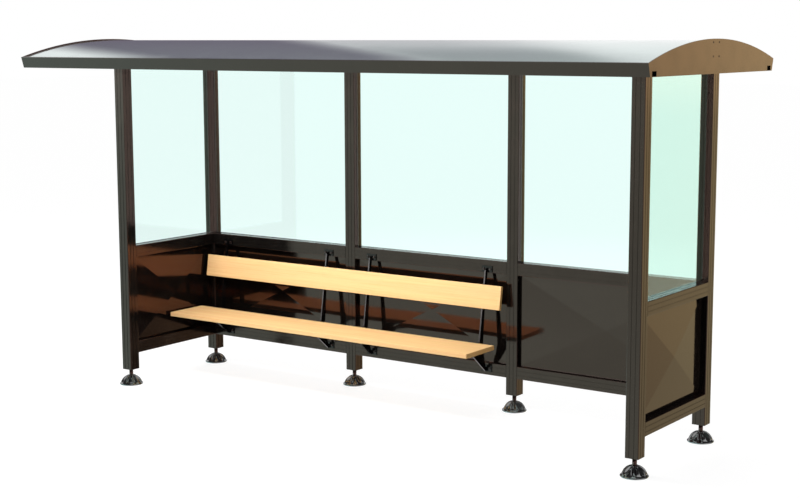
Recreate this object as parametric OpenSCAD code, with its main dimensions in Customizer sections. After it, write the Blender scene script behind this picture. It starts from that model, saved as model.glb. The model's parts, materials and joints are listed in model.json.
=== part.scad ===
// Bus shelter. A frame of grooved square profile stands on levelling feet, with glass over
// cross-broken panels on three sides, an open front, an arched roof and a wooden bench.
// Millimetres. The origin is on the ground under the middle of the roof, X runs along the shelter
// and the open front faces -Y.

/* [Frame] */
// Width of the square frame profile
profile_w = 80; // [70:1:95]
// Wall of the frame profile
profile_wall = 5; // [4:0.5:8]
// Corner radius of the frame profile
profile_corner_r = 4; // [2:0.5:6]
// Width of each groove along a face of the profile
groove_w = 4; // [2:0.5:6]
// Depth of each groove
groove_d = 2; // [1:0.25:3]
// Distance of each groove from the middle of its face
groove_off = 14; // [10:0.5:20]
// Distance between the post axes of one bay
bay_l = 1260; // [1150:10:1320]
// Distance between the front and back post axes
frame_d = 850; // [820:5:900]
// Height of the posts' lower ends above the ground
post_base_z = 105; // [90:1:140]
// Thickness of the plate that closes a post's lower end
post_plate_t = 10; // [6:1:16]
// Height of the bottom rails' undersides
bottom_rail_z = 214; // [190:1:230]
// Height of the mid rails' undersides
mid_rail_z = 868; // [850:1:900]

/* [Feet] */
// Radius of a foot's base
foot_r = 78; // [60:1:90]
// Thickness of the rounded rim of a foot
foot_rim_h = 10; // [6:1:16]
// Height of the top of a foot's dome
foot_dome_h = 66; // [50:1:80]
// Radius of the dome where it leaves the rim
foot_dome_r = 72; // [50:1:84]
// Diameter of a foot's stem
foot_stem_d = 26; // [16:1:30]
// Number of flutes round a foot's dome
foot_flutes = 6; // [4:1:8]
// Radius of each flute
flute_r = 16; // [10:1:20]
// Distance of a flute's upper end from the foot's axis
flute_top_r = 22; // [18:1:28]
// Height of a flute's upper end below the top of the dome
flute_top_drop = 6; // [4:1:10]

/* [Infill] */
// Clearance around a pane or panel
infill_gap = 0.3; // [0.1:0.1:0.8]
// Thickness of the glass
glass_t = 6; // [4:0.5:8]
// Thickness of the panels at their edges
panel_t = 22; // [10:1:30]
// How far the middle of a panel stands out on each face
panel_rise = 12; // [6:1:20]

/* [Roof] */
// How far the roof's ends stand out from the end posts' outer faces
end_overhang = 277; // [200:1:400]
// How far the front fascia's upper edge stands out from the front posts' faces
front_overhang = 540; // [400:1:650]
// How far the rear fascia's upper edge stands out from the back posts' outer faces
rear_overhang = 90; // [70:1:160]
// Height of the fascias' upper edges
roof_edge_z = 2210; // [2200:1:2320]
// Rise of the arch above the fascias' upper edges
roof_rise = 112; // [100:1:130]
// Thickness of the curved roof sheet
sheet_t = 6; // [3:0.5:10]
// How far the sheet lies below the upper edges of the fascias and end caps
sheet_drop = 8; // [2:1:14]
// Height of the fascias, square to the arch
fascia_h = 70; // [60:1:90]
// Thickness of the hollow fascias
fascia_t = 18; // [14:1:24]
// Wall of the hollow fascias
fascia_wall = 3; // [2:0.5:4]
// Width of the lip that shows in front of the sheet's edge
fascia_lip = 9; // [7:1:11]
// Gap between the fascia's lip and the sheet
sheet_gap = 1.5; // [0.5:0.5:3]
// Thickness of the end caps
cap_t = 5; // [3:0.5:10]
// Height of the rectangular edge beams
edge_beam_h = 30; // [22:1:36]
// Wall of the edge beams
edge_beam_wall = 2; // [1.5:0.5:4]
// Width of the roof ribs
rib_w = 40; // [24:1:60]
// Depth of the roof ribs
rib_h = 14; // [10:1:18]
// Wall of the roof ribs
rib_wall = 2; // [1.5:0.5:4]
// Clearance between roof pieces that rest on each other
seat_gap = 0.3; // [0.1:0.1:0.6]

/* [Bench] */
// Distance of the bench's ends from the axes of the posts beside them
bench_end_gap = 40; // [20:1:120]
// Height of the seat's upper face
seat_z = 444; // [430:1:480]
// Depth of the seat board
seat_d = 317; // [280:1:330]
// Place of the seat's front edge
seat_front_y = 152; // [130:1:170]
// Thickness of the seat board
seat_t = 28; // [20:1:36]
// Height of the backrest board
backrest_h = 150; // [120:1:165]
// Thickness of the backrest board
backrest_t = 22; // [16:1:26]
// Lean of the backrest
backrest_lean = 8.7; // [7:0.1:10]
// Place of the backrest's lower front edge
backrest_y = 525; // [515:1:527]
// Height of the backrest's lower front edge
backrest_z = 654; // [630:1:670]
// Edge radius of the boards
board_r = 4; // [2:0.5:6]

/* [Bench brackets] */
// Distance of a bracket from the axis of the nearest post
bracket_off = 180; // [120:5:300]
// Thickness of the bracket plate
bracket_t = 8; // [6:0.5:14]
// Width of the bracket's arm and strut, and of its leg at the top
bracket_w = 25; // [18:0.5:26]
// Width of the leg where it meets the arm
leg_foot_w = 46; // [30:1:60]
// Distance of the arm's end from the seat's front edge
arm_setback = 60; // [40:1:100]
// Distance of the strut's upper end from the seat's front edge
strut_setback = 260; // [200:1:280]
// How deep a bracket runs into its fixing plates
weld_d = 3; // [1:0.5:3.5]
// Height of the strut's lower end above the bottom rail's underside
strut_foot_up = 38; // [34:1:46]
// Width of the plates that fix a bracket to the rails
fix_plate_w = 74; // [60:1:90]
// Height of the fixing plates
fix_plate_h = 42; // [36:1:50]
// Thickness of the fixing plates
fix_plate_t = 6; // [4:0.5:8]
// Height of the upper fixing plate's middle above the mid rail's underside
upper_plate_up = 25; // [24:1:45]
// Height of the lower fixing plate's middle above the bottom rail's underside
lower_plate_up = 44; // [30:1:50]

/* [Hidden] */
$fn = 64;
arch_fn = 720;
half_w = profile_w / 2;
roof_d = front_overhang + frame_d + profile_w + rear_overhang;
roof_l = 3 * bay_l + profile_w + 2 * end_overhang;
frame_shift = (front_overhang - rear_overhang) / 2;
front_y = frame_shift - frame_d / 2;
back_y = frame_shift + frame_d / 2;
inner_back_y = back_y - half_w;
post_x = [-1.5 * bay_l, -0.5 * bay_l, 0.5 * bay_l, 1.5 * bay_l];
left_x = post_x[0];
right_x = post_x[3];
mid_rail_top = mid_rail_z + profile_w;
bottom_rail_top = bottom_rail_z + profile_w;

// The roof's arch: a circle about a point far below the roof
half_roof_d = roof_d / 2;
roof_r = (half_roof_d * half_roof_d + roof_rise * roof_rise) / (2 * roof_rise);
arc_z = roof_edge_z + roof_rise - roof_r;
edge_a = asin(half_roof_d / roof_r);
sheet_top_r = roof_r - sheet_drop;
sheet_under_r = sheet_top_r - sheet_t;
rib_top_r = sheet_under_r - seat_gap;
rib_under_r = rib_top_r - rib_h;
cope_r = rib_under_r - seat_gap;
eaves_z = arc_z + (roof_r - fascia_h) * cos(edge_a);
inner_roof_l = roof_l - 2 * cap_t;
function arch_z(r, y) = arc_z + sqrt(r * r - y * y);
ridge_top_z = arch_z(sheet_under_r, half_w) - seat_gap;
back_top_rail_z = arch_z(cope_r, back_y + half_w) - profile_w;
front_top_rail_z = arch_z(cope_r, abs(front_y) + half_w) - profile_w;

// The edge beams fill the eaves from the fascias to the line of the back posts' outer faces
edge_beam_y = (roof_r - fascia_h) * sin(edge_a) - fascia_t * cos(edge_a) - seat_gap;
edge_beam_d = edge_beam_y - back_y - half_w - seat_gap;

// The bench bracket's lines, as [y, z] points beside the leaning backrest
lean_up = [sin(backrest_lean), cos(backrest_lean)];
lean_back = [cos(backrest_lean), -sin(backrest_lean)];
backrest_foot = [backrest_y, backrest_z];
leg_mid = backrest_foot + (backrest_t + seat_gap + bracket_w / 2) * lean_back;
function leg_at(z) = leg_mid + (z - leg_mid[1]) / lean_up[1] * lean_up;
upper_plate_z = mid_rail_z + upper_plate_up;
lower_plate_z = bottom_rail_z + lower_plate_up;
arm_z = seat_z - seat_t - seat_gap - bracket_w / 2;
leg_top = leg_at(upper_plate_z - bracket_w / 4);
leg_foot = leg_at(arm_z);
leg_heel = leg_foot + (leg_foot_w - bracket_w / 2) * lean_back;
arm_end = [seat_front_y + arm_setback, arm_z];
strut_top = [seat_front_y + strut_setback, arm_z];
weld_y = inner_back_y - fix_plate_t + weld_d;
strut_foot = [weld_y - bracket_w / 2, bottom_rail_z + strut_foot_up];
bench_x = post_x[1];
bench_l = 2 * bay_l - 2 * bench_end_gap;
bay_mid_x = [for (k = [0:2]) (post_x[k] + post_x[k + 1]) / 2];
bracket_x = [post_x[0] + bracket_off, post_x[1] - bracket_off,
             post_x[1] + bracket_off, post_x[2] - bracket_off];

paint_c = [0.25, 0.24, 0.22];
panel_c = [0.27, 0.25, 0.22];
sheet_c = [0.30, 0.31, 0.38];
glass_c = [0.80, 0.96, 0.92, 0.45];
wood_c = [0.96, 0.78, 0.52];
foot_c = [0.16, 0.16, 0.16];
bracket_c = [0.12, 0.12, 0.12];

// A rectangle with round corners, centred
module round_rect(w, h, r) {
    square([w - 2 * r, h], center = true);
    square([w, h - 2 * r], center = true);
    for (x = [-1, 1], y = [-1, 1])
        translate([x * (w / 2 - r), y * (h / 2 - r)]) circle(r);
}

// Outline of the frame profile, with two grooves along every face
module profile_outline() {
    difference() {
        round_rect(profile_w, profile_w, profile_corner_r);
        for (turn = [0:90:270], side = [-1, 1])
            rotate(turn) translate([side * groove_off, half_w])
                square([groove_w, 2 * groove_d], center = true);
    }
}

module profile_section() {
    difference() {
        profile_outline();
        square(profile_w - 2 * profile_wall, center = true);
    }
}

// Lengths of frame profile along X and along Y, by their ends and the middle of their section
module rail_x(x0, x1, y, z) {
    color(paint_c) translate([x0, y, z]) rotate([90, 0, 90]) linear_extrude(x1 - x0) profile_section();
}

module rail_y(y0, y1, x, z) {
    color(paint_c) translate([x, y1, z]) rotate([90, 0, 0]) linear_extrude(y1 - y0) profile_section();
}

// A post from its closed lower end up to the ribs, coped to the arch
module post(x, y) {
    color(paint_c) intersection() {
        translate([x, y, post_base_z]) {
            linear_extrude(post_plate_t) profile_outline();
            translate([0, 0, post_plate_t])
                linear_extrude(roof_edge_z + roof_rise - post_base_z) profile_section();
        }
        translate([x - profile_w, 0, arc_z]) rotate([0, 90, 0])
            cylinder(r = cope_r, h = 2 * profile_w, $fn = arch_fn);
    }
}

// Base of a levelling foot: rounded rim and dome
module foot_base() {
    dome_rise = foot_dome_h - foot_rim_h;
    dome_r = (foot_dome_r * foot_dome_r + dome_rise * dome_rise) / (2 * dome_rise);
    rotate_extrude() {
        square([foot_r - foot_rim_h / 2, foot_rim_h]);
        translate([foot_r - foot_rim_h / 2, foot_rim_h / 2]) circle(d = foot_rim_h);
        intersection() {
            translate([0, foot_dome_h - dome_r]) circle(dome_r);
            translate([0, foot_rim_h / 2]) square([foot_dome_r, foot_dome_h]);
        }
    }
}

// Cutter of one flute, whose bottom runs straight from near the stem down to the rim's edge
module flute() {
    fall = foot_dome_h - flute_top_drop - foot_rim_h;
    run = foot_r - flute_top_r;
    translate([flute_top_r, 0, foot_rim_h + fall]) rotate([0, atan2(fall, run) - 90, 0])
        translate([flute_r, 0, -2 * foot_r]) cylinder(r = flute_r, h = 3 * foot_r);
}

// A levelling foot: fluted base and stem about the post's axis
module foot(x, y) {
    color(foot_c) translate([x, y, 0]) {
        difference() {
            foot_base();
            for (k = [0:foot_flutes - 1]) rotate((k + 0.5) * 360 / foot_flutes) flute();
        }
        cylinder(d = foot_stem_d, h = post_base_z);
    }
}

module front_feet() {
    for (x = [left_x, right_x]) foot(x, front_y);
}

module back_feet() {
    for (x = post_x) foot(x, back_y);
}

// One rail in every back bay, and one in a side wall, by the height of their undersides
module back_rails(z) {
    for (k = [0:2]) rail_x(post_x[k] + half_w, post_x[k + 1] - half_w, back_y, z + half_w);
}

module side_rail(x, z) {
    rail_y(front_y + half_w, back_y - half_w, x, z + half_w);
}

module front_top_rail() {
    rail_x(left_x + half_w, right_x - half_w, front_y, front_top_rail_z + half_w);
}

// Infill of a bay: from post to post, or from front post to back post, less the clearance
bay_infill_l = bay_l - profile_w - 2 * infill_gap;
side_infill_l = frame_d - profile_w - 2 * infill_gap;
glass_z = mid_rail_top + infill_gap;
glass_h = back_top_rail_z - infill_gap - glass_z;
panel_z = bottom_rail_top + infill_gap;
panel_h = mid_rail_z - infill_gap - panel_z;

module pane(l, thick) {
    color(glass_c) translate([-l / 2, -thick / 2, 0]) cube([l, thick, glass_h]);
}

module back_glass(k) {
    translate([bay_mid_x[k], back_y, glass_z]) pane(bay_infill_l, glass_t);
}

module side_glass(x) {
    translate([x, frame_shift, glass_z]) rotate(90) pane(side_infill_l, glass_t);
}

// A panel creased along the diagonals of both faces, with the middle of each standing out
module cross_broken_panel(l, h) {
    corners = [[-l / 2, 0], [l / 2, 0], [l / 2, h], [-l / 2, h]];
    front = concat([for (c = corners) [c[0], -panel_t / 2, c[1]]],
                   [[0, -panel_t / 2 - panel_rise, h / 2]]);
    back = [for (p = front) [p[0], -p[1], p[2]]];
    front_faces = [for (k = [0:3]) [k, 4, (k + 1) % 4]];
    back_faces = [for (k = [0:3]) [5 + (k + 1) % 4, 9, 5 + k]];
    rim_faces = [for (k = [0:3]) [k, (k + 1) % 4, 5 + (k + 1) % 4, 5 + k]];
    color(panel_c) polyhedron(concat(front, back), concat(front_faces, back_faces, rim_faces));
}

module back_panel(k) {
    translate([bay_mid_x[k], back_y, panel_z]) cross_broken_panel(bay_infill_l, panel_h);
}

module side_panel(x) {
    translate([x, frame_shift, panel_z]) rotate(90) cross_broken_panel(side_infill_l, panel_h);
}

// A length along X of a section drawn in the YZ plane
module along_x(x0, x1) {
    translate([x0, 0, 0]) rotate([90, 0, 90]) linear_extrude(x1 - x0) children();
}

module bench_seat() {
    color(wood_c) along_x(bench_x - bench_l / 2, bench_x + bench_l / 2)
        translate([seat_front_y + seat_d / 2, seat_z - seat_t / 2]) round_rect(seat_d, seat_t, board_r);
}

module bench_backrest() {
    color(wood_c) along_x(bench_x - bench_l / 2, bench_x + bench_l / 2)
        translate(backrest_foot) rotate(-backrest_lean)
            translate([backrest_t / 2, backrest_h / 2]) round_rect(backrest_t, backrest_h, board_r);
}

// A flat bar from one point to another, with a round far end
module bar(a, b, w) {
    d = b - a;
    translate(a) rotate(atan2(d[1], d[0])) {
        translate([0, -w / 2]) square([norm(d), w]);
        translate([norm(d), 0]) circle(d = w);
    }
}

// Outline of a bracket: tapered leg behind the backrest, arm under the seat, and a web down to the rail
module bracket_outline() {
    bar(leg_at(arm_z - bracket_w / 2), leg_top, bracket_w);
    bar(leg_foot, arm_end, bracket_w);
    bar(strut_top, strut_foot, bracket_w);
    polygon([leg_foot, leg_heel, leg_at(leg_top[1] - bracket_w)]);
    polygon([strut_top, leg_at(arm_z + bracket_w), leg_heel, strut_foot]);
    polygon([leg_top, [weld_y, leg_top[1]], [weld_y, leg_top[1] - bracket_w / 2],
             leg_at(leg_top[1] - bracket_w)]);
}

module fix_plate(x, z) {
    translate([x - fix_plate_w / 2, inner_back_y - fix_plate_t, z - fix_plate_h / 2])
        cube([fix_plate_w, fix_plate_t, fix_plate_h]);
}

module bench_bracket(k) {
    x = bracket_x[k];
    color(bracket_c) {
        along_x(x - bracket_t / 2, x + bracket_t / 2) bracket_outline();
        fix_plate(x, upper_plate_z);
        fix_plate(x, lower_plate_z);
    }
}

// Places a section at an edge of the arch: X runs inwards from the fascia's face, Y from the centre
module at_edge(side) {
    translate([0, arc_z]) rotate(-side * edge_a) mirror([side > 0 ? 1 : 0, 0]) children();
}

module arch_band(r_out, r_in) {
    translate([0, arc_z]) difference() {
        circle(r_out, $fn = arch_fn);
        circle(r_in, $fn = arch_fn);
    }
}

// What lies above the eaves line and between the fascias, less a margin at both edges
module roof_span(margin) {
    intersection() {
        translate([-roof_d, eaves_z]) square([2 * roof_d, roof_r]);
        at_edge(-1) translate([margin, 0]) square([2 * roof_r, 2 * roof_r]);
        at_edge(1) translate([margin, 0]) square([2 * roof_r, 2 * roof_r]);
    }
}

module roof_sheet() {
    color(sheet_c) along_x(-inner_roof_l / 2, inner_roof_l / 2) intersection() {
        arch_band(sheet_top_r, sheet_under_r);
        roof_span(fascia_lip + sheet_gap);
    }
}

// Hollow fascia with a rebate that carries the edge of the sheet
module fascia_section() {
    low = roof_r - fascia_h;
    ledge = sheet_under_r - seat_gap;
    difference() {
        polygon([[0, low], [fascia_t, low], [fascia_t, ledge],
                 [fascia_lip, ledge], [fascia_lip, roof_r], [0, roof_r]]);
        translate([fascia_wall, low + fascia_wall])
            square([fascia_t - 2 * fascia_wall, ledge - low - 2 * fascia_wall]);
    }
}

module fascia(side) {
    color(paint_c) along_x(-inner_roof_l / 2, inner_roof_l / 2) at_edge(side) fascia_section();
}

// Rectangle of an edge beam, or of its bore when drawn with a wall
module edge_beam_rect(side, wall) {
    y = side * (edge_beam_y - edge_beam_d / 2);
    translate([y, eaves_z + edge_beam_h / 2])
        square([edge_beam_d - 2 * wall, edge_beam_h - 2 * wall], center = true);
}

module edge_beam(side) {
    color(paint_c) along_x(-inner_roof_l / 2, inner_roof_l / 2) difference() {
        edge_beam_rect(side, 0);
        edge_beam_rect(side, edge_beam_wall);
    }
}

module ridge_beam() {
    rail_x(-inner_roof_l / 2, inner_roof_l / 2, 0, ridge_top_z - half_w);
}

// Hollow bent ribs over every post line, each in two lengths from the ridge beam to a fascia
module rib_lengths(x, w, r_out, r_in, end_margin, ridge_margin) {
    along_x(x - w / 2, x + w / 2) difference() {
        intersection() {
            arch_band(r_out, r_in);
            roof_span(end_margin);
        }
        translate([-ridge_margin, 0]) square([2 * ridge_margin, 2 * roof_edge_z]);
    }
}

module roof_ribs() {
    end_margin = fascia_t + seat_gap;
    ridge_margin = half_w + seat_gap;
    color(paint_c) for (x = post_x) difference() {
        rib_lengths(x, rib_w, rib_top_r, rib_under_r, end_margin, ridge_margin);
        rib_lengths(x, rib_w - 2 * rib_wall, rib_top_r - rib_wall, rib_under_r + rib_wall,
                    end_margin - rib_wall, ridge_margin - rib_wall);
    }
}

// Flat end cap under the arch, open where the edge beams end
module end_cap(x) {
    color(paint_c) along_x(x, x + cap_t) difference() {
        intersection() {
            translate([0, arc_z]) circle(roof_r, $fn = arch_fn);
            roof_span(0);
        }
        for (side = [-1, 1]) edge_beam_rect(side, edge_beam_wall);
    }
}

post(left_x, front_y);  // post_front_left
post(right_x, front_y);  // post_front_right
post(left_x, back_y);  // post_back_left
post(post_x[1], back_y);  // post_back_inner_left
post(post_x[2], back_y);  // post_back_inner_right
post(right_x, back_y);  // post_back_right
front_feet();
back_feet();
back_rails(bottom_rail_z);  // back_bottom_rails
side_rail(left_x, bottom_rail_z);  // left_bottom_rail
side_rail(right_x, bottom_rail_z);  // right_bottom_rail
back_rails(mid_rail_z);  // back_mid_rails
side_rail(left_x, mid_rail_z);  // left_mid_rail
side_rail(right_x, mid_rail_z);  // right_mid_rail
back_rails(back_top_rail_z);  // back_top_rails
side_rail(left_x, back_top_rail_z);  // left_top_rail
side_rail(right_x, back_top_rail_z);  // right_top_rail
front_top_rail();
back_glass(0);  // glass_back_left
back_glass(1);  // glass_back_middle
back_glass(2);  // glass_back_right
side_glass(left_x);  // glass_left
side_glass(right_x);  // glass_right
back_panel(0);  // panel_back_left
back_panel(1);  // panel_back_middle
back_panel(2);  // panel_back_right
side_panel(left_x);  // panel_left
side_panel(right_x);  // panel_right
bench_seat();
bench_backrest();
bench_bracket(0);  // bench_bracket_1
bench_bracket(1);  // bench_bracket_2
bench_bracket(2);  // bench_bracket_3
bench_bracket(3);  // bench_bracket_4
roof_sheet();
fascia(-1);  // front_fascia
fascia(1);  // rear_fascia
edge_beam(-1);  // front_edge_beam
edge_beam(1);  // rear_edge_beam
ridge_beam();
roof_ribs();
end_cap(-roof_l / 2);  // left_end_cap
end_cap(roof_l / 2 - cap_t);  // right_end_cap
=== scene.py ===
"""Looks of the bus shelter: finishes, feet, creased panels, fixings, studio and camera.

Metres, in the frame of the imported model: +X along the shelter, the open front faces -Y, +Z up.
An azimuth is in degrees from +Y towards +X, and a rise is the upward share of a unit direction.
"""

import json
import math

import bmesh
import bpy
from mathutils import Matrix, Vector


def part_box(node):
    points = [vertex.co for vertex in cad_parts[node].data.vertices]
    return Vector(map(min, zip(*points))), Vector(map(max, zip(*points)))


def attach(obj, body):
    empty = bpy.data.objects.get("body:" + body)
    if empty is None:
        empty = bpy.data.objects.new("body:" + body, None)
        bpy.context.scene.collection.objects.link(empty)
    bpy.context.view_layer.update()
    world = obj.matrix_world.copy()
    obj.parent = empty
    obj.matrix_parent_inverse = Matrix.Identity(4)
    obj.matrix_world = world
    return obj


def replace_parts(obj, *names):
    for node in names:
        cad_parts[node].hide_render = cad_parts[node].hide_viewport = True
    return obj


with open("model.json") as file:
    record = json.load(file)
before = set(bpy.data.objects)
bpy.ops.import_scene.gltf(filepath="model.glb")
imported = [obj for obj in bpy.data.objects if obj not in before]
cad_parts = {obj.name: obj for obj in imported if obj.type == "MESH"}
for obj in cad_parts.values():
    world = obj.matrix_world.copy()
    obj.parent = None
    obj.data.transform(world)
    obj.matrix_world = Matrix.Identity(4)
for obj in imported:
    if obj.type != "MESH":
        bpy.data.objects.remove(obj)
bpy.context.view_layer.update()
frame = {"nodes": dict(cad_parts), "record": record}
scene = bpy.context.scene
scene.view_settings.view_transform = "Standard"

# Camera, in metres, degrees and millimetres
CAMERA_AT = (5.3632, -7.2505, 2.3479)
CAMERA_YAW = 35.391
CAMERA_PITCH = 8.169
CAMERA_ROLL = -0.161
CAMERA_LENS = 67.3
SENSOR_WIDTH = 36.0

# Floor
FLOOR_HALF = 60.0
FLOOR_DROP = 0.0005
FLOOR_GLOW = 0.86
FLOOR_ROUGHNESS = 0.9
FLOOR_COLOUR = (0.8, 0.8, 0.8, 1.0)
FLOOR_SHADE = (0.28, 0.28, 0.28, 1.0)

# Lamps: name, place, aim, size, watts, colour
WARM_LAMP = (1.0, 0.98, 0.95)
WHITE_LAMP = (1.0, 1.0, 1.0)
LAMPS = (
    ("key", (-4.8, -7.4, 2.1), (0.0, 0.4, 0.9), (5.0, 2.0), 60.0, WARM_LAMP),
    ("front", (-0.8, -7.0, 4.0), (-0.6, 0.4, 0.6), (5.0, 3.0), 60.0, WARM_LAMP),
    ("eaves", (-0.8, -0.5, 2.05), (-0.8, 0.4, 0.6), (3.6, 0.4), 50.0, WARM_LAMP),
    ("top", (0.0, 0.0, 6.5), (0.0, 0.0, 2.0), (6.0, 4.0), 100.0, WHITE_LAMP),
    ("rear", (-2.0, 7.0, 4.0), (0.0, 0.5, 1.0), (6.0, 3.0), 80.0, WHITE_LAMP),
)

# World: colours of the cards that gloss reflects
WHITE = (1.0, 1.0, 1.0, 1.0)
AMBIENT = (0.48, 0.48, 0.48, 1.0)
WARM_LOW = (0.70, 0.64, 0.38, 1.0)
WARM_MID = (0.98, 0.86, 0.46, 1.0)
WARM_HIGH = (1.70, 1.30, 0.67, 1.0)
COOL_LOW = (0.85, 1.52, 1.46, 1.0)
COOL_DIP = (0.70, 1.22, 1.16, 1.0)
COOL_HIGH = (0.82, 1.46, 1.38, 1.0)
STRIP = (6.0, 8.6, 9.0, 1.0)
SLATE = (0.138, 0.116, 0.162, 1.0)
BAND = (0.25, 0.30, 0.29, 1.0)
DARK = (0.05, 0.05, 0.05, 1.0)
FLAG = (0.02, 0.02, 0.02, 1.0)
BELOW = (1.5, 1.5, 1.5, 1.0)
HAZE_SHARE = 0.5
BAND_SHARE = 0.6

# World: sectors of the cards, as azimuth, half width where full and half width where gone
FRONT_AZIMUTH = -148.0
WARM_AZIMUTH = 22.0
COOL_SECTOR = (FRONT_AZIMUTH, 60.0, 100.0)
STRIP_SECTOR = (FRONT_AZIMUTH, 16.0, 30.0)
DARK_FRONT_SECTOR = (FRONT_AZIMUTH, 40.0, 60.0)
WARM_SECTOR = (WARM_AZIMUTH, 9.0, 26.0)
DARK_WARM_SECTOR = (WARM_AZIMUTH, 14.0, 30.0)
SLATE_SECTOR = (-44.4, 3.5, 7.5)
HAZE_SECTOR = (-38.0, 2.0, 10.0)
BAND_SECTOR = (-35.0, 2.0, 5.0)
FLAG_SECTOR = (143.5, 12.0, 24.0)
CORNER_SECTOR = (50.0, 14.0, 26.0)

# World: rises over which the cards begin, change or end
COOL_DIP_RISE = (-0.25, -0.14)
COOL_HIGH_RISE = (-0.13, -0.05)
COOL_END_RISE = (-0.02, 0.02)
STRIP_START_RISE = (0.05, 0.07)
STRIP_END_RISE = (0.11, 0.14)
WARM_MID_RISE = (-0.26, -0.10)
WARM_HIGH_RISE = (-0.06, -0.02)
WARM_END_RISE = (0.05, 0.10)
SLATE_END_RISE = (0.4, 0.6)
BAND_START_RISE = (0.2, 0.4)
FLAG_END_RISE = (0.0, 0.1)
DARK_START_RISE = (0.03, 0.08)
ZENITH_RISE = (0.5, 0.7)
CORNER_END_RISE = (-0.16, -0.10)
BELOW_END_RISE = (-0.70, -0.62)

# Colours of the finishes, and of the painted shade on the glass
BRONZE = (1.0, 0.50, 0.42, 1.0)
GREY_TINT = (1.0, 0.64, 0.60, 1.0)
ROOF_CLEAN = (0.63, 0.73, 0.715, 1.0)
ROOF_DUSTY = (0.59, 0.68, 0.665, 1.0)
GLASS_TINT = (0.82, 0.985, 0.95, 1.0)
# Painted shade: a darker copy of the glass tint, for the right pane only
RIGHT_GLASS_SHADED_TINT = (0.745, 0.935, 0.885, 1.0)
# Painted shade: near-black colour for the glass's upright edges
GLASS_EDGE_SHADE = (0.010, 0.016, 0.013, 1.0)
WOOD_PALE = (0.94, 0.62, 0.295, 1.0)
WOOD_WARM = (0.92, 0.57, 0.275, 1.0)
WOOD_LINE = (0.83, 0.47, 0.195, 1.0)
WOOD_PORE = (0.55, 0.27, 0.09, 1.0)
END_PALE = (0.84, 0.50, 0.20, 1.0)
END_DARK = (0.66, 0.35, 0.13, 1.0)
FOOT_CLEAN = (0.002, 0.002, 0.002, 1.0)
FOOT_DUSTY = (0.006, 0.006, 0.006, 1.0)
STEEL_BLACK = (0.05, 0.030, 0.028, 1.0)
STEEL_WORN = (0.14, 0.085, 0.080, 1.0)

# Patterns: how they are stretched along X, Y and Z
ROOF_RIPPLE = (0.35, 1.6, 1.0)
GLASS_WAVES = (1.0, 1.0, 0.4)
WOOD_STREAKS = (0.5, 14.0, 14.0)
WOOD_LINES = (1.2, 90.0, 90.0)
WOOD_PORES = (14.0, 520.0, 520.0)

# Share of a normal along an axis from which a face counts as facing that way
FACING = (0.7, 0.9)

# Feet
FOOT_R = 0.078
FOOT_RIM_H = 0.010
FOOT_RIM_TURNS = (-60, -30, 0, 30, 60)
FOOT_DOME_H = 0.066
FOOT_DOME_R = 0.072
FOOT_DOME_STEPS = 18
FOOT_STEM_R = 0.013
FOOT_STEM_TOP = 0.105
FOOT_STEM_ROWS = 2
FOOT_COLLAR_H = 0.002
FOOT_SEGMENTS = 128
FOOT_LOBES = 8
FLUTE_START = 0.4
FLUTE_TOP_R = 0.022
FLUTE_TOP_DROP = 0.008
FLUTE_DEEPEN = 1.6

# Panels
PANEL_T = 0.020
PANEL_RISE = 0.016
PANEL_SHIFT = {"panel_right": -0.008}

# Fixings; the profiles are rings of (share of the radius, share of the height, sides)
HEAD_SEGMENTS = 24
ROUND = 0
HEX = 6
FIX_PLATE_T = 0.006
FIX_PLATE_H = 0.042
BOLT_SPREAD = 0.024
BOLT_R = 0.0075
BOLT_H = 0.0055
BOLT_PROFILE = ((1.0, 0.0, HEX), (1.0, 0.88, HEX), (0.86, 1.0, ROUND))
WASHER_R = 0.0095
WASHER_H = 0.0016
WASHER_PROFILE = ((1.0, 0.0, ROUND), (1.0, 0.8, ROUND), (0.95, 1.0, ROUND))
CAP_SCREW_OFF = 0.036
CAP_SCREW_R = 0.005
CAP_SCREW_H = 0.002
CAP_SCREW_PROFILE = (
    (1.0, 0.0, ROUND), (0.98, 0.35, ROUND), (0.86, 0.72, ROUND), (0.66, 0.94, ROUND),
    (0.50, 1.0, ROUND), (0.42, 1.0, HEX), (0.42, 0.4, HEX))


# Node helpers

def fill(tree, node, inputs):
    """Sets inputs of a node: a value is stored and a socket is linked."""
    for key, value in inputs.items():
        if isinstance(value, bpy.types.NodeSocket):
            tree.links.new(value, node.inputs[key])
        else:
            node.inputs[key].default_value = value


def add(tree, kind, inputs, **settings):
    """A new node with its settings and inputs."""
    node = tree.nodes.new(kind)
    for key, value in settings.items():
        setattr(node, key, value)
    fill(tree, node, inputs)
    return node


def new_material(name):
    """A material with its node tree and its Principled shader."""
    material = bpy.data.materials.new(name)
    material.use_nodes = True
    tree = material.node_tree
    return material, tree, tree.nodes["Principled BSDF"]


def object_place(tree, stretch=(1.0, 1.0, 1.0)):
    """Place on the object in metres, times stretch."""
    coords = add(tree, "ShaderNodeTexCoord", {})
    mapping = add(tree, "ShaderNodeMapping", {"Vector": coords.outputs["Object"], "Scale": stretch})
    return mapping.outputs["Vector"]


def noise(tree, place, scale, detail, roughness=0.5, distortion=0.0):
    """Soft random values between 0 and 1."""
    node = add(tree, "ShaderNodeTexNoise", {
        "Vector": place, "Scale": scale, "Detail": detail, "Roughness": roughness,
        "Distortion": distortion})
    return node.outputs["Fac"]


def spread(tree, value, low, high, to=(0.0, 1.0)):
    """Maps low to high of a value smoothly onto the two values of to."""
    node = add(tree, "ShaderNodeMapRange", {
        "Value": value, "From Min": low, "From Max": high, "To Min": to[0], "To Max": to[1]},
        interpolation_type="SMOOTHSTEP")
    return node.outputs["Result"]


def mix_colour(tree, share, first, second):
    """The first colour, changed to the second by share."""
    node = add(tree, "ShaderNodeMix", {}, data_type="RGBA")
    for key, value in (("Factor", share), ("A", first), ("B", second)):
        socket = next(s for s in node.inputs if s.name == key and s.enabled)
        if isinstance(value, bpy.types.NodeSocket):
            tree.links.new(value, socket)
        else:
            socket.default_value = value
    return next(s for s in node.outputs if s.enabled)


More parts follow.
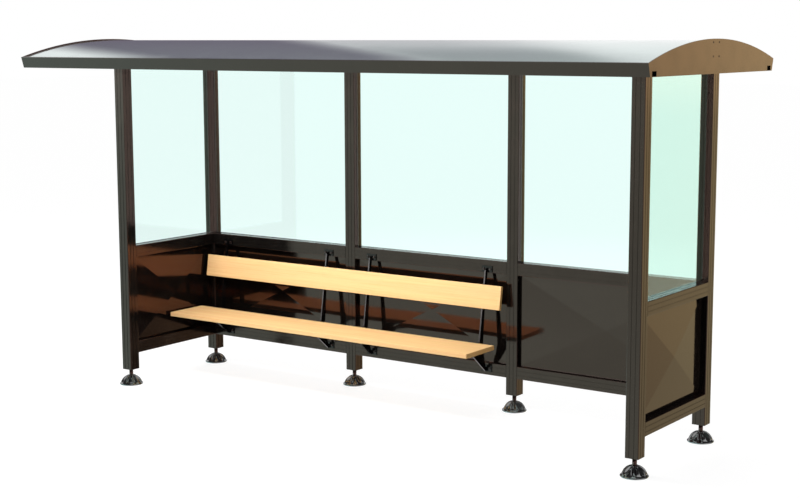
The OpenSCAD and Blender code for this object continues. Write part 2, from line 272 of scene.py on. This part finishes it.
def calculate(tree, operation, first, second=0.0):
    return add(tree, "ShaderNodeMath", {0: first, 1: second}, operation=operation).outputs["Value"]


def product(tree, first, second):
    return calculate(tree, "MULTIPLY", first, second)


def larger(tree, first, second):
    return calculate(tree, "MAXIMUM", first, second)


def bump(tree, height, strength, distance, below=None):
    """A normal raised by height, over the normal below it."""
    inputs = {"Height": height, "Strength": strength, "Distance": distance}
    if below is not None:
        inputs["Normal"] = below
    return add(tree, "ShaderNodeBump", inputs).outputs["Normal"]


def facing(tree, normal, axis):
    """One on faces whose normal lies along an axis; normal names an output of Geometry."""
    direction = add(tree, "ShaderNodeNewGeometry", {}).outputs[normal]
    along = add(tree, "ShaderNodeSeparateXYZ", {"Vector": direction}).outputs[axis]
    return spread(tree, calculate(tree, "ABSOLUTE", along), *FACING)


# Materials

def gloss_paint(name, clean, dusty, rough, wave, peel, ior, tint):
    """Dark gloss paint: faint dust in its colour, uneven gloss, slow waves and orange peel."""
    material, tree, bsdf = new_material(name)
    place = object_place(tree)
    dust = spread(tree, noise(tree, place, scale=5.0, detail=6.0, roughness=0.62), 0.42, 0.72)
    gloss = spread(tree, noise(tree, place, scale=9.0, detail=4.0), 0.35, 0.7, to=rough)
    waves = bump(tree, noise(tree, place, scale=2.2, detail=1.0), wave, distance=0.004)
    grain = bump(tree, noise(tree, place, scale=420.0, detail=2.0), peel, distance=0.0003, below=waves)
    fill(tree, bsdf, {
        "Base Color": mix_colour(tree, dust, clean, dusty), "Roughness": gloss, "Normal": grain,
        "IOR": ior, "Specular Tint": tint})
    return material


def frame_paint():
    return gloss_paint(
        "frame_paint", clean=(0.005, 0.0045, 0.004, 1.0), dusty=(0.009, 0.008, 0.0065, 1.0),
        rough=(0.10, 0.17), wave=0.02, peel=0.05, ior=1.65, tint=BRONZE)


def panel_paint():
    return gloss_paint(
        "panel_paint", clean=(0.004, 0.003, 0.0025, 1.0), dusty=(0.007, 0.0055, 0.0045, 1.0),
        rough=(0.06, 0.11), wave=0.01, peel=0.03, ior=1.70, tint=BRONZE)


def bracket_paint():
    return gloss_paint(
        "bracket_paint", clean=(0.003, 0.003, 0.003, 1.0), dusty=(0.006, 0.006, 0.006, 1.0),
        rough=(0.10, 0.18), wave=0.0, peel=0.08, ior=1.45, tint=GREY_TINT)


def roof_gloss():
    """Glossy roof sheet with a slow ripple and a trace of dust."""
    material, tree, bsdf = new_material("roof_gloss")
    place = object_place(tree)
    dust = spread(tree, noise(tree, place, scale=3.0, detail=6.0, roughness=0.6), 0.45, 0.75)
    gloss = spread(tree, noise(tree, place, scale=6.0, detail=4.0), 0.3, 0.7, to=(0.06, 0.12))
    ripple = noise(tree, object_place(tree, ROOF_RIPPLE), scale=1.4, detail=1.0)
    fill(tree, bsdf, {
        "Base Color": mix_colour(tree, dust, ROOF_CLEAN, ROOF_DUSTY), "Roughness": gloss,
        "Normal": bump(tree, ripple, strength=0.08, distance=0.01), "Metallic": 0.8})
    return material


def clear_glass(name, tint, edge_axis):
    """Toughened glass with a pale aqua tint, upright edges painted near-black and opaque as shade, and the
    faint waves of tempering.
    """
    material, tree, bsdf = new_material(name)
    # Painted shade: the upright edges turn near-black and stop letting light through
    edge_shade = facing(tree, "True Normal", edge_axis)
    waves = noise(tree, object_place(tree, GLASS_WAVES), scale=3.0, detail=1.0)
    fill(tree, bsdf, {
        "Base Color": mix_colour(tree, edge_shade, tint, GLASS_EDGE_SHADE),
        "Transmission Weight": calculate(tree, "SUBTRACT", 1.0, edge_shade),
        "Normal": bump(tree, waves, strength=0.02, distance=0.003), "Roughness": 0.0, "IOR": 1.45})
    return material


def bench_wood():
    """Lacquered pale wood: long streaks, growth lines and pores along X, rings on the end grain."""
    material, tree, bsdf = new_material("bench_wood")
    streaks = noise(tree, object_place(tree, WOOD_STREAKS), 1.6, 5.0, roughness=0.55, distortion=0.3)
    lines = noise(tree, object_place(tree, WOOD_LINES), 1.3, 4.0, roughness=0.6, distortion=0.6)
    pores = noise(tree, object_place(tree, WOOD_PORES), 1.0, 2.0)
    tone = mix_colour(tree, spread(tree, streaks, 0.36, 0.66), WOOD_PALE, WOOD_WARM)
    tone = mix_colour(tree, spread(tree, lines, 0.46, 0.70, to=(0.0, 0.55)), tone, WOOD_LINE)
    tone = mix_colour(tree, spread(tree, pores, 0.60, 0.75, to=(0.0, 0.30)), tone, WOOD_PORE)
    rings = add(tree, "ShaderNodeTexWave", {
        "Vector": object_place(tree), "Scale": 38.0, "Distortion": 2.5, "Detail": 2.0},
        wave_type="RINGS", rings_direction="X").outputs["Fac"]
    end_tone = mix_colour(tree, rings, END_PALE, END_DARK)
    grain = bump(tree, lines, strength=0.10, distance=0.0006)
    fill(tree, bsdf, {
        "Base Color": mix_colour(tree, facing(tree, "Normal", "X"), tone, end_tone),
        "Roughness": spread(tree, lines, 0.3, 0.7, to=(0.48, 0.60)),
        "Normal": bump(tree, pores, strength=0.15, distance=0.0003, below=grain),
        "Specular IOR Level": 0.15})
    return material


def foot_black():
    """Glossy black moulding with a trace of dust in its gloss."""
    material, tree, bsdf = new_material("foot_black")
    place = object_place(tree)
    dust = spread(tree, noise(tree, place, scale=40.0, detail=5.0, roughness=0.6), 0.5, 0.8)
    gloss = spread(tree, noise(tree, place, scale=60.0, detail=3.0), 0.35, 0.7, to=(0.04, 0.08))
    grain = noise(tree, place, scale=600.0, detail=2.0)
    fill(tree, bsdf, {
        "Base Color": mix_colour(tree, dust, FOOT_CLEAN, FOOT_DUSTY), "Roughness": gloss,
        "Normal": bump(tree, grain, strength=0.05, distance=0.0002), "IOR": 3.0})
    return material


def fixing_steel():
    """Blackened steel of the bolts."""
    material, tree, bsdf = new_material("fixing_steel")
    place = object_place(tree)
    worn = spread(tree, noise(tree, place, scale=120.0, detail=4.0), 0.45, 0.75)
    gloss = spread(tree, noise(tree, place, scale=200.0, detail=3.0), 0.3, 0.7, to=(0.22, 0.40))
    grain = noise(tree, place, scale=700.0, detail=2.0)
    fill(tree, bsdf, {
        "Base Color": mix_colour(tree, worn, STEEL_BLACK, STEEL_WORN), "Roughness": gloss,
        "Normal": bump(tree, grain, strength=0.08, distance=0.0002), "Metallic": 0.85})
    return material


SLOT_MATERIALS = {
    "frame_paint": frame_paint(),
    "panel_paint": panel_paint(),
    "roof_gloss": roof_gloss(),
    "clear_glass": clear_glass("clear_glass", GLASS_TINT, "X"),
    "bench_wood": bench_wood(),
    "foot_black": foot_black(),
    "bracket_paint": bracket_paint(),
}
SIDE_GLASS = {
    "glass_left": clear_glass("clear_left_glass", GLASS_TINT, "Y"),
    # The right pane takes a darker copy of the same glass: painted shade
    "glass_right": clear_glass("right_glass_painted_shade", RIGHT_GLASS_SHADED_TINT, "Y"),
}
STEEL = fixing_steel()


def dress_cad_nodes():
    """Every CAD node takes the finish of its slot, and glass casts no shadow."""
    for part in frame["record"]["subparts"]:
        obj = frame["nodes"][part["node"]]
        slot = part["material_slot"]
        for material_slot in obj.material_slots:
            material_slot.material = SIDE_GLASS.get(part["node"], SLOT_MATERIALS[slot])
        obj.data.shade_smooth()
        obj.visible_shadow = slot != "clear_glass"


# Added pieces

def new_piece(name, mesh, material):
    """A finished mesh as a piece that rides on the shelter."""
    data = bpy.data.meshes.new(name)
    bmesh.ops.recalc_face_normals(mesh, faces=mesh.faces)
    mesh.to_mesh(data)
    mesh.free()
    data.materials.append(material)
    obj = bpy.data.objects.new(name, data)
    scene.collection.objects.link(obj)
    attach(obj, "root")
    return obj


def nodes_named(start):
    return [name for name in sorted(frame["nodes"]) if name.startswith(start)]


def loft(mesh, rings):
    """A closed solid through rings of points; gives its side faces, row by row."""
    rows = []
    before = None
    for points in rings:
        ring = [mesh.verts.new(point) for point in points]
        count = len(ring)
        if before is None:
            mesh.faces.new(list(reversed(ring)))
        else:
            rows.append([
                mesh.faces.new((before[k], before[(k + 1) % count], ring[(k + 1) % count], ring[k]))
                for k in range(count)])
        before = ring
    mesh.faces.new(before)
    return rows


def foot_profile():
    """Rings of a foot from the ground to the stem's top, as (radius, height, depth of a flute)."""
    rim_r = FOOT_RIM_H / 2
    rim_middle = FOOT_R - rim_r
    profile = [(rim_middle, 0.0, 0.0)]
    for degrees in FOOT_RIM_TURNS:
        turn = math.radians(degrees)
        profile.append((rim_middle + rim_r * math.cos(turn), rim_r + rim_r * math.sin(turn), 0.0))
    rise = FOOT_DOME_H - FOOT_RIM_H
    dome_r = (FOOT_DOME_R ** 2 + rise ** 2) / (2 * rise)
    flute_top_z = FOOT_DOME_H - FLUTE_TOP_DROP
    for k in range(FOOT_DOME_STEPS + 1):
        radius = FOOT_DOME_R + (FOOT_STEM_R - FOOT_DOME_R) * k / FOOT_DOME_STEPS
        height = FOOT_DOME_H - dome_r + math.sqrt(dome_r ** 2 - radius ** 2)
        outward = (radius - FLUTE_TOP_R) / (FOOT_R - FLUTE_TOP_R)
        flute_z = flute_top_z + outward * (FOOT_RIM_H - flute_top_z)
        depth = max(0.0, height - flute_z) if radius > FLUTE_TOP_R else 0.0
        profile.append((radius, height, FLUTE_DEEPEN * depth))
    dome_top_z = profile[-1][1]
    profile.append((FOOT_STEM_R, dome_top_z + FOOT_COLLAR_H, 0.0))
    profile.append((FOOT_STEM_R, FOOT_STEM_TOP, 0.0))
    return profile


def foot_ring(x, y, ground, radius, height, depth):
    """Points round a foot, sunk smoothly by depth between its lobes."""
    points = []
    for k in range(FOOT_SEGMENTS):
        angle = 2 * math.pi * k / FOOT_SEGMENTS
        wave = abs(math.sin(FOOT_LOBES / 2 * angle))
        share = max(0.0, (wave - FLUTE_START) / (1 - FLUTE_START))
        fall = depth * share * share * (3 - 2 * share)
        points.append((x + radius * math.cos(angle), y + radius * math.sin(angle), ground + height - fall))
    return points


def fluted_feet():
    """Levelling feet with eight lobes and painted stems, in the places of the CAD feet."""
    profile = foot_profile()
    for node, row in (("front_feet", "foot_front"), ("back_feet", "foot_back")):
        mesh = bmesh.new()
        for mount in [m for m in frame["record"]["mounts"] if m["name"].startswith(row)]:
            rows = loft(mesh, [foot_ring(*mount["pos_m"], *ring) for ring in profile])
            for faces in rows:
                for face in faces:
                    face.smooth = True
            for faces in rows[-FOOT_STEM_ROWS:]:
                for face in faces:
                    face.material_index = 1
        feet = new_piece("fluted_" + node, mesh, SLOT_MATERIALS["foot_black"])
        feet.data.materials.append(SLOT_MATERIALS["frame_paint"])
        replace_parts(feet, node)


def creased_panels():
    """Sheet panels in the CAD panels' places, creased towards +Y at the back and +X at the sides."""
    for node in nodes_named("panel_"):
        low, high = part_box(node)
        thin = 0 if high.x - low.x < high.y - low.y else 1
        middle = (low + high) / 2
        middle[thin] += PANEL_SHIFT.get(node, 0.0)
        mesh = bmesh.new()
        rings = []
        for face_at in (-PANEL_T / 2, PANEL_T / 2):
            ring = []
            for along_end, up_end in ((low, low), (high, low), (high, high), (low, high)):
                corner = middle.copy()
                corner[thin] += face_at
                corner[1 - thin] = along_end[1 - thin]
                corner.z = up_end.z
                ring.append(mesh.verts.new(corner))
            peak = middle.copy()
            peak[thin] += face_at + PANEL_RISE
            top = mesh.verts.new(peak)
            for k, corner in enumerate(ring):
                mesh.faces.new((corner, ring[(k + 1) % len(ring)], top))
            rings.append(ring)
        inner, outer = rings
        for k in range(len(inner)):
            after = (k + 1) % len(inner)
            mesh.faces.new((inner[k], inner[after], outer[after], outer[k]))
        name = node.replace("panel", "creased_panel")
        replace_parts(new_piece(name, mesh, SLOT_MATERIALS["panel_paint"]), node)


def head_ring(radius, height, sides):
    """Points of a circle about Z, or of a polygon where it has sides."""
    points = []
    for k in range(HEAD_SEGMENTS):
        angle = 2 * math.pi * k / HEAD_SEGMENTS
        reach = radius
        if sides:
            half = math.pi / sides
            reach = radius * math.cos(half) / math.cos(angle % (2 * half) - half)
        points.append(Vector((reach * math.cos(angle), reach * math.sin(angle), height)))
    return points


def sized(profile, radius, height, start=0.0):
    """A profile's rings at a radius and a height, from a start along the axis."""
    return [(share_r * radius, start + share_h * height, sides) for share_r, share_h, sides in profile]


def add_head(mesh, at, axis, rings):
    """A turned or faceted head at a point along an axis."""
    turn = Vector((0, 0, 1)).rotation_difference(Vector(axis)).to_matrix().to_4x4()
    place = Matrix.Translation(at) @ turn
    loft(mesh, [[place @ point for point in head_ring(*ring)] for ring in rings])


def bracket_bolts():
    """Two hexagon bolts on washers through each fixing plate of every bench bracket."""
    rings = sized(WASHER_PROFILE, WASHER_R, WASHER_H) + sized(BOLT_PROFILE, BOLT_R, BOLT_H, WASHER_H)
    for node in nodes_named("bench_bracket_"):
        low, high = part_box(node)
        face_y = high.y - FIX_PLATE_T
        middle_x = (low.x + high.x) / 2
        mesh = bmesh.new()
        for z in (high.z - FIX_PLATE_H / 2, low.z + FIX_PLATE_H / 2):
            for side in (-1, 1):
                add_head(mesh, (middle_x + side * BOLT_SPREAD, face_y, z), (0, -1, 0), rings)
        new_piece(node.replace("bench_bracket", "bracket_bolts"), mesh, STEEL)


def cap_screws():
    """Four domed screws with hexagon sockets through each end cap into the ridge beam's corners."""
    rings = sized(CAP_SCREW_PROFILE, CAP_SCREW_R, CAP_SCREW_H)
    low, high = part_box("ridge_beam")
    middle = (low + high) / 2
    for node, side in (("left_end_cap", -1), ("right_end_cap", 1)):
        cap_low, cap_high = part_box(node)
        face_x = cap_high.x if side > 0 else cap_low.x
        mesh = bmesh.new()
        for y_side in (-1, 1):
            for z_side in (-1, 1):
                at = (face_x, middle.y + y_side * CAP_SCREW_OFF, middle.z + z_side * CAP_SCREW_OFF)
                add_head(mesh, at, (side, 0, 0), rings)
        name = node.replace("end_cap", "cap_screws")
        new_piece(name, mesh, SLOT_MATERIALS["frame_paint"])


# Studio

def make_floor():
    """A white floor that keeps the shelter's shadow and isn't mirrored in gloss."""
    mesh = bmesh.new()
    corners = [(-FLOOR_HALF, -FLOOR_HALF), (FLOOR_HALF, -FLOOR_HALF),
               (FLOOR_HALF, FLOOR_HALF), (-FLOOR_HALF, FLOOR_HALF)]
    mesh.faces.new([mesh.verts.new((x, y, -FLOOR_DROP)) for x, y in corners])
    data = bpy.data.meshes.new("floor")
    mesh.to_mesh(data)
    mesh.free()
    floor = bpy.data.objects.new("floor", data)
    scene.collection.objects.link(floor)
    material, tree, bsdf = new_material("floor_white")
    path = add(tree, "ShaderNodeLightPath", {}).outputs
    seen = larger(tree, path["Is Camera Ray"], path["Is Glossy Ray"])
    seen = larger(tree, seen, path["Is Transmission Ray"])
    fill(tree, bsdf, {
        "Base Color": mix_colour(tree, seen, FLOOR_COLOUR, FLOOR_SHADE), "Roughness": FLOOR_ROUGHNESS,
        "Specular IOR Level": 0.0, "Emission Color": WHITE,
        "Emission Strength": product(tree, seen, FLOOR_GLOW)})
    data.materials.append(material)
    floor.visible_glossy = False


def sector(tree, direction, azimuth, inner, outer):
    """One where a direction's azimuth lies within inner degrees of an azimuth, none past outer."""
    flat = add(tree, "ShaderNodeVectorMath", {0: direction, 1: (1.0, 1.0, 0.0)}, operation="MULTIPLY")
    unit = add(tree, "ShaderNodeVectorMath", {0: flat.outputs["Vector"]}, operation="NORMALIZE")
    angle = math.radians(azimuth)
    towards = (math.sin(angle), math.cos(angle), 0.0)
    along = add(tree, "ShaderNodeVectorMath", {0: unit.outputs["Vector"], 1: towards},
                operation="DOT_PRODUCT")
    return spread(tree, along.outputs["Value"], math.cos(math.radians(outer)), math.cos(math.radians(inner)))


def world_cards(tree, direction):
    """The world as gloss sees it: white, with coloured and dark cards round the shelter."""
    rise = add(tree, "ShaderNodeSeparateXYZ", {"Vector": direction}).outputs["Z"]

    def above(fade):
        return spread(tree, rise, *fade)

    def under(fade):
        return spread(tree, rise, *fade, to=(1.0, 0.0))

    def within(card_sector):
        return sector(tree, direction, *card_sector)

    dark_share = larger(tree, within(DARK_FRONT_SECTOR), within(DARK_WARM_SECTOR))
    dark_share = larger(tree, product(tree, dark_share, above(DARK_START_RISE)), above(ZENITH_RISE))
    corner_share = product(tree, within(CORNER_SECTOR), under(CORNER_END_RISE))
    cards = mix_colour(tree, larger(tree, dark_share, corner_share), WHITE, DARK)

    band_rise = spread(tree, rise, *BAND_START_RISE, to=(0.0, BAND_SHARE))
    cards = mix_colour(tree, product(tree, within(BAND_SECTOR), band_rise), cards, BAND)

    cool = mix_colour(tree, above(COOL_DIP_RISE), COOL_LOW, COOL_DIP)
    cool = mix_colour(tree, above(COOL_HIGH_RISE), cool, COOL_HIGH)
    cards = mix_colour(tree, product(tree, within(COOL_SECTOR), under(COOL_END_RISE)), cards, cool)

    strip_rise = product(tree, above(STRIP_START_RISE), under(STRIP_END_RISE))
    cards = mix_colour(tree, product(tree, within(STRIP_SECTOR), strip_rise), cards, STRIP)

    warm = mix_colour(tree, above(WARM_MID_RISE), WARM_LOW, WARM_MID)
    warm = mix_colour(tree, above(WARM_HIGH_RISE), warm, WARM_HIGH)
    cards = mix_colour(tree, product(tree, within(WARM_SECTOR), under(WARM_END_RISE)), cards, warm)

    haze_share = product(tree, within(HAZE_SECTOR), HAZE_SHARE)
    slate_share = larger(tree, within(SLATE_SECTOR), haze_share)
    cards = mix_colour(tree, product(tree, slate_share, under(SLATE_END_RISE)), cards, SLATE)

    cards = mix_colour(tree, product(tree, within(FLAG_SECTOR), under(FLAG_END_RISE)), cards, FLAG)
    return mix_colour(tree, under(BELOW_END_RISE), cards, BELOW)


def make_world():
    """White to the camera and through glass, cards in gloss, and an even light for the rest."""
    world = bpy.data.worlds.new("studio")
    world.use_nodes = True
    scene.world = world
    tree = world.node_tree
    tree.nodes.clear()
    direction = add(tree, "ShaderNodeTexCoord", {}).outputs["Generated"]
    path = add(tree, "ShaderNodeLightPath", {}).outputs
    colour = mix_colour(tree, path["Is Glossy Ray"], AMBIENT, world_cards(tree, direction))
    seen_white = larger(tree, path["Is Camera Ray"], path["Is Transmission Ray"])
    colour = mix_colour(tree, seen_white, colour, WHITE)
    background = add(tree, "ShaderNodeBackground", {"Color": colour, "Strength": 1.0})
    add(tree, "ShaderNodeOutputWorld", {"Surface": background.outputs["Background"]})


def make_lamps():
    """Soft lamps that are not seen themselves, neither directly nor in gloss or glass."""
    for name, at, aim, size, watts, colour in LAMPS:
        data = bpy.data.lights.new(name, "AREA")
        data.shape = "RECTANGLE"
        data.size, data.size_y = size
        data.energy = watts
        data.color = colour
        lamp = bpy.data.objects.new(name, data)
        lamp.location = at
        lamp.rotation_mode = "QUATERNION"
        lamp.rotation_quaternion = (Vector(aim) - Vector(at)).to_track_quat("-Z", "Y")
        lamp.visible_camera = False
        lamp.visible_glossy = False
        lamp.visible_transmission = False
        scene.collection.objects.link(lamp)


def make_camera():
    """The camera at the picture's place, turned by yaw, pitch and roll."""
    yaw, pitch, roll = (math.radians(a) for a in (CAMERA_YAW, CAMERA_PITCH, CAMERA_ROLL))
    ahead = Vector((-math.sin(yaw) * math.cos(pitch), math.cos(yaw) * math.cos(pitch), -math.sin(pitch)))
    level = Vector((math.cos(yaw), math.sin(yaw), 0.0))
    upright = level.cross(ahead)
    right = math.cos(roll) * level + math.sin(roll) * upright
    up = right.cross(ahead)
    data = bpy.data.cameras.new("camera")
    data.sensor_width = SENSOR_WIDTH
    data.lens = CAMERA_LENS
    camera = bpy.data.objects.new("camera", data)
    turn = Matrix((right, up, -ahead)).transposed().to_4x4()
    camera.matrix_world = Matrix.Translation(CAMERA_AT) @ turn
    scene.collection.objects.link(camera)
    scene.camera = camera


make_camera()
make_world()
make_floor()
make_lamps()
dress_cad_nodes()
fluted_feet()
creased_panels()
bracket_bolts()
cap_screws()
